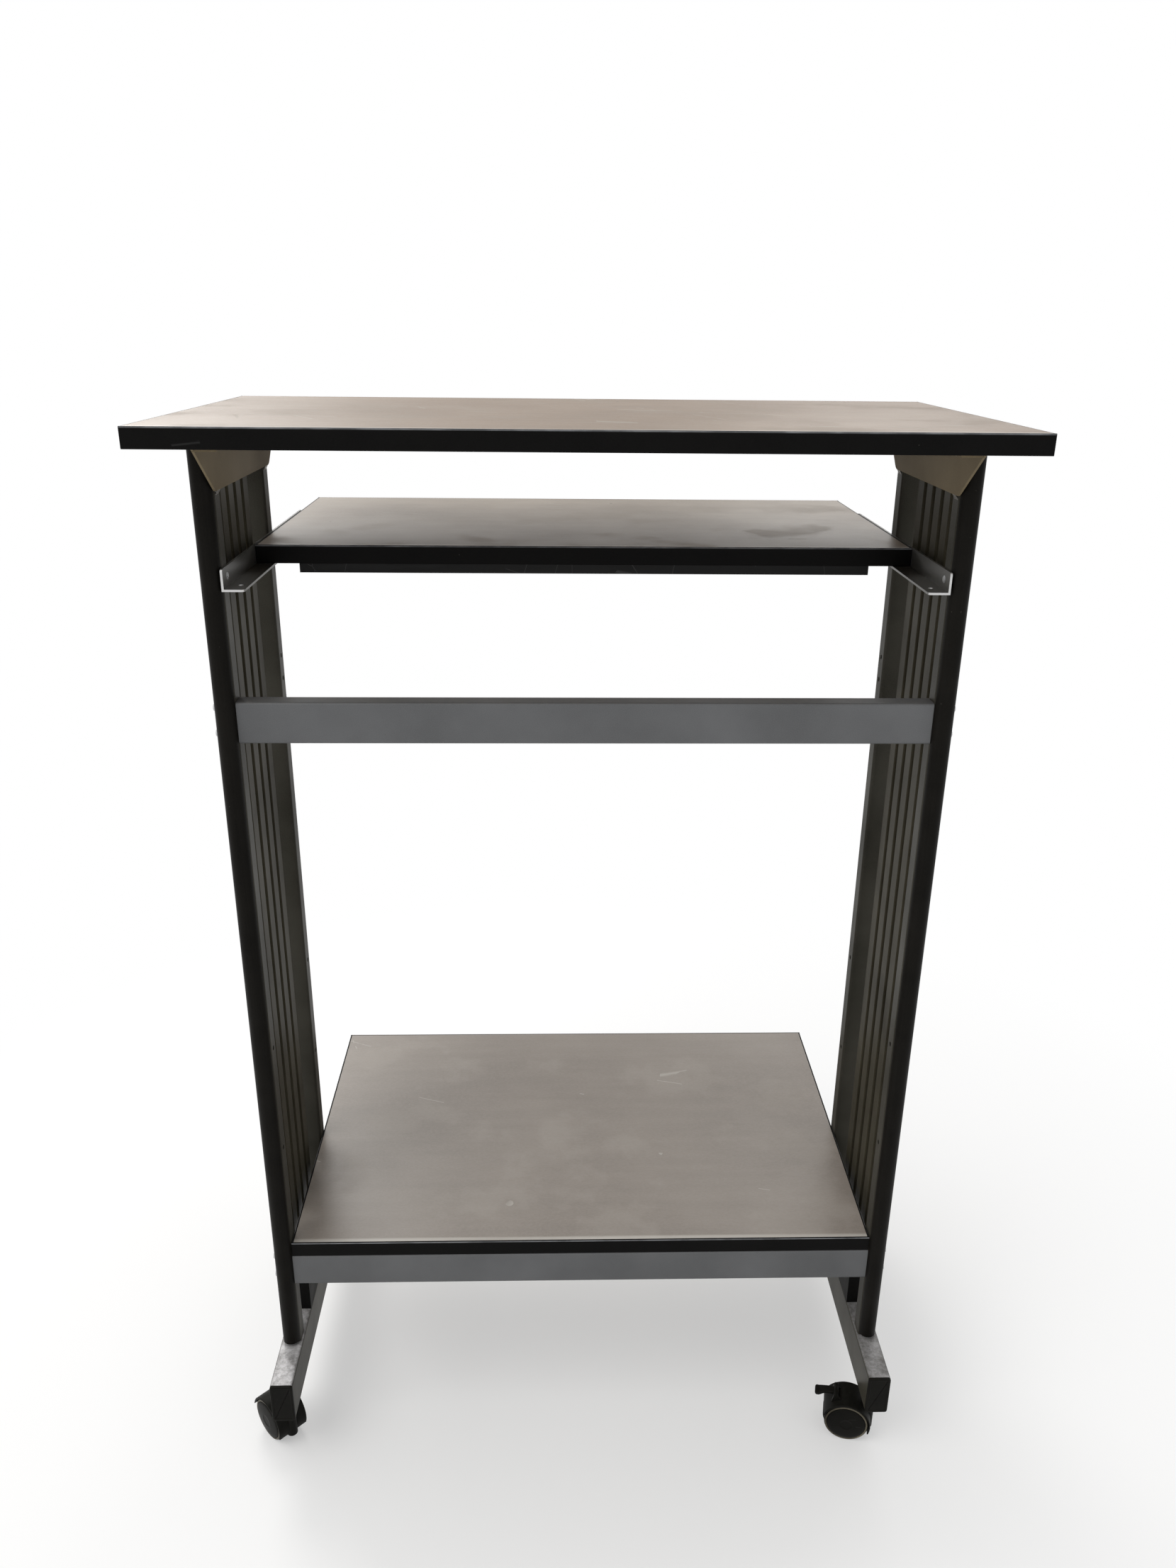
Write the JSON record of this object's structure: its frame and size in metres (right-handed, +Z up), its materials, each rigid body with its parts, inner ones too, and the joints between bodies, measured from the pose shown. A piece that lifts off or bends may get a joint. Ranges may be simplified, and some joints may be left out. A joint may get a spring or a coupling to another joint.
{
  "type": "computer desk",
  "caption": "Tall, narrow computer desk on casters with a laminated top, a keyboard tray that slides on steel angles, a lower shelf and slatted steel side frames.",
  "frame": {"origin": "on the floor, midway between the two side frames and midway between front and rear posts", "axes": "+Z up; +X to the right seen from the side with the cross rails, which faces -Y; +Y towards the person at the desk, where the keyboard tray comes out"},
  "size_m": [0.7591, 0.5095, 1.13],
  "materials": {
    "laminate": "matt wood-grain laminate on chipboard",
    "edging_black": "smooth, slightly rounded edge band",
    "silver_paint": "silver-grey powder coat",
    "black_trim": "satin black",
    "zinc_plate": "bright zinc plate",
    "dark_steel": "dark grey satin",
    "caster_housing": "moulded, slight sheen",
    "caster_wheel": "moulded, smooth",
    "fastener_steel": "zinc plate"
  },
  "bodies": {
    "frame": {"desktop": "laminate", "desktop_edging": "edging_black", "gusset_left": "silver_paint", "gusset_right": "silver_paint", "wood_screws": "fastener_steel", "post_front_left": "silver_paint", "post_front_right": "silver_paint", "post_rear_left": "silver_paint", "post_rear_right": "silver_paint", "nose_front_left": "black_trim", "nose_front_right": "black_trim", "nose_rear_left": "black_trim", "nose_rear_right": "black_trim", "slats_left": "silver_paint", "slats_right": "silver_paint", "slat_shoe_left": "black_trim", "slat_shoe_right": "black_trim", "slat_heads": "black_trim", "mid_rail": "silver_paint", "lower_rail": "silver_paint", "rail_end_plates": "fastener_steel", "frame_bolts": "fastener_steel", "bearer_nuts": "fastener_steel", "shelf": "laminate", "shelf_edging": "edging_black", "bearer_left": "zinc_plate", "bearer_right": "zinc_plate", "runner_left": "zinc_plate", "runner_right": "zinc_plate", "runner_screws": "fastener_steel", "foot_left": "silver_paint", "foot_right": "silver_paint", "foot_caps": "black_trim", "post_welds": "silver_paint", "caster_stems": "fastener_steel", "stem_nuts": "fastener_steel"},
    "tray": {"tray": "laminate", "tray_edging": "edging_black", "tray_stiffener": "dark_steel", "stiffener_screws": "fastener_steel"},
    "swivel_fl": {"hood_fl": "caster_housing", "axle_fl": "fastener_steel"},
    "wheel_fl_a": {"wheel_fl_a": "caster_wheel"},
    "wheel_fl_b": {"wheel_fl_b": "caster_wheel"},
    "swivel_fr": {"hood_fr": "caster_housing", "axle_fr": "fastener_steel"},
    "wheel_fr_a": {"wheel_fr_a": "caster_wheel"},
    "wheel_fr_b": {"wheel_fr_b": "caster_wheel"},
    "brake_fr": {"brake_lever_fr": "caster_housing"},
    "swivel_rl": {"hood_rl": "caster_housing", "axle_rl": "fastener_steel"},
    "wheel_rl_a": {"wheel_rl_a": "caster_wheel"},
    "wheel_rl_b": {"wheel_rl_b": "caster_wheel"},
    "brake_rl": {"brake_lever_rl": "caster_housing"},
    "swivel_rr": {"hood_rr": "caster_housing", "axle_rr": "fastener_steel"},
    "wheel_rr_a": {"wheel_rr_a": "caster_wheel"},
    "wheel_rr_b": {"wheel_rr_b": "caster_wheel"}
  },
  "joints": [
    {"name": "tray_slide", "type": "slide", "parent": "frame", "child": "tray", "axis": [0, 1, 0], "range_m": [-0.102, 0.05]},
    {"name": "swivel_fl", "type": "hinge", "parent": "frame", "child": "swivel_fl", "pos_m": [-0.3335, -0.138, 0.054], "axis": [0, 0, 1], "continuous": true},
    {"name": "roll_fl_a", "type": "hinge", "parent": "swivel_fl", "child": "wheel_fl_a", "pos_m": [-0.35017, -0.12074, 0.025], "axis": [-0.7193, -0.6947, 0], "continuous": true},
    {"name": "roll_fl_b", "type": "hinge", "parent": "swivel_fl", "child": "wheel_fl_b", "pos_m": [-0.35017, -0.12074, 0.025], "axis": [-0.7193, -0.6947, 0], "continuous": true},
    {"name": "swivel_fr", "type": "hinge", "parent": "frame", "child": "swivel_fr", "pos_m": [0.3335, -0.138, 0.054], "axis": [0, 0, 1], "continuous": true},
    {"name": "roll_fr_a", "type": "hinge", "parent": "swivel_fr", "child": "wheel_fr_a", "pos_m": [0.31021, -0.13219, 0.025], "axis": [-0.2419, -0.9703, 0], "continuous": true},
    {"name": "roll_fr_b", "type": "hinge", "parent": "swivel_fr", "child": "wheel_fr_b", "pos_m": [0.31021, -0.13219, 0.025], "axis": [-0.2419, -0.9703, 0], "continuous": true},
    {"name": "brake_press_fr", "type": "hinge", "parent": "swivel_fr", "child": "brake_fr", "pos_m": [0.29663, -0.12881, 0.0545], "axis": [-0.2419, -0.9703, 0], "range_deg": [0, 14]},
    {"name": "swivel_rl", "type": "hinge", "parent": "frame", "child": "swivel_rl", "pos_m": [-0.3335, 0.221, 0.054], "axis": [0, 0, 1], "continuous": true},
    {"name": "roll_rl_a", "type": "hinge", "parent": "swivel_rl", "child": "wheel_rl_a", "pos_m": [-0.33767, 0.24463, 0.025], "axis": [-0.9848, -0.1736, 0], "continuous": true},
    {"name": "roll_rl_b", "type": "hinge", "parent": "swivel_rl", "child": "wheel_rl_b", "pos_m": [-0.33767, 0.24463, 0.025], "axis": [-0.9848, -0.1736, 0], "continuous": true},
    {"name": "brake_press_rl", "type": "hinge", "parent": "swivel_rl", "child": "brake_rl", "pos_m": [-0.3401, 0.25842, 0.0545], "axis": [-0.9848, -0.1736, 0], "range_deg": [0, 14]},
    {"name": "swivel_rr", "type": "hinge", "parent": "frame", "child": "swivel_rr", "pos_m": [0.3335, 0.221, 0.054], "axis": [0, 0, 1], "continuous": true},
    {"name": "roll_rr_a", "type": "hinge", "parent": "swivel_rr", "child": "wheel_rr_a", "pos_m": [0.33971, 0.24418, 0.025], "axis": [-0.9659, 0.2588, 0], "continuous": true},
    {"name": "roll_rr_b", "type": "hinge", "parent": "swivel_rr", "child": "wheel_rr_b", "pos_m": [0.33971, 0.24418, 0.025], "axis": [-0.9659, 0.2588, 0], "continuous": true}
  ]
}
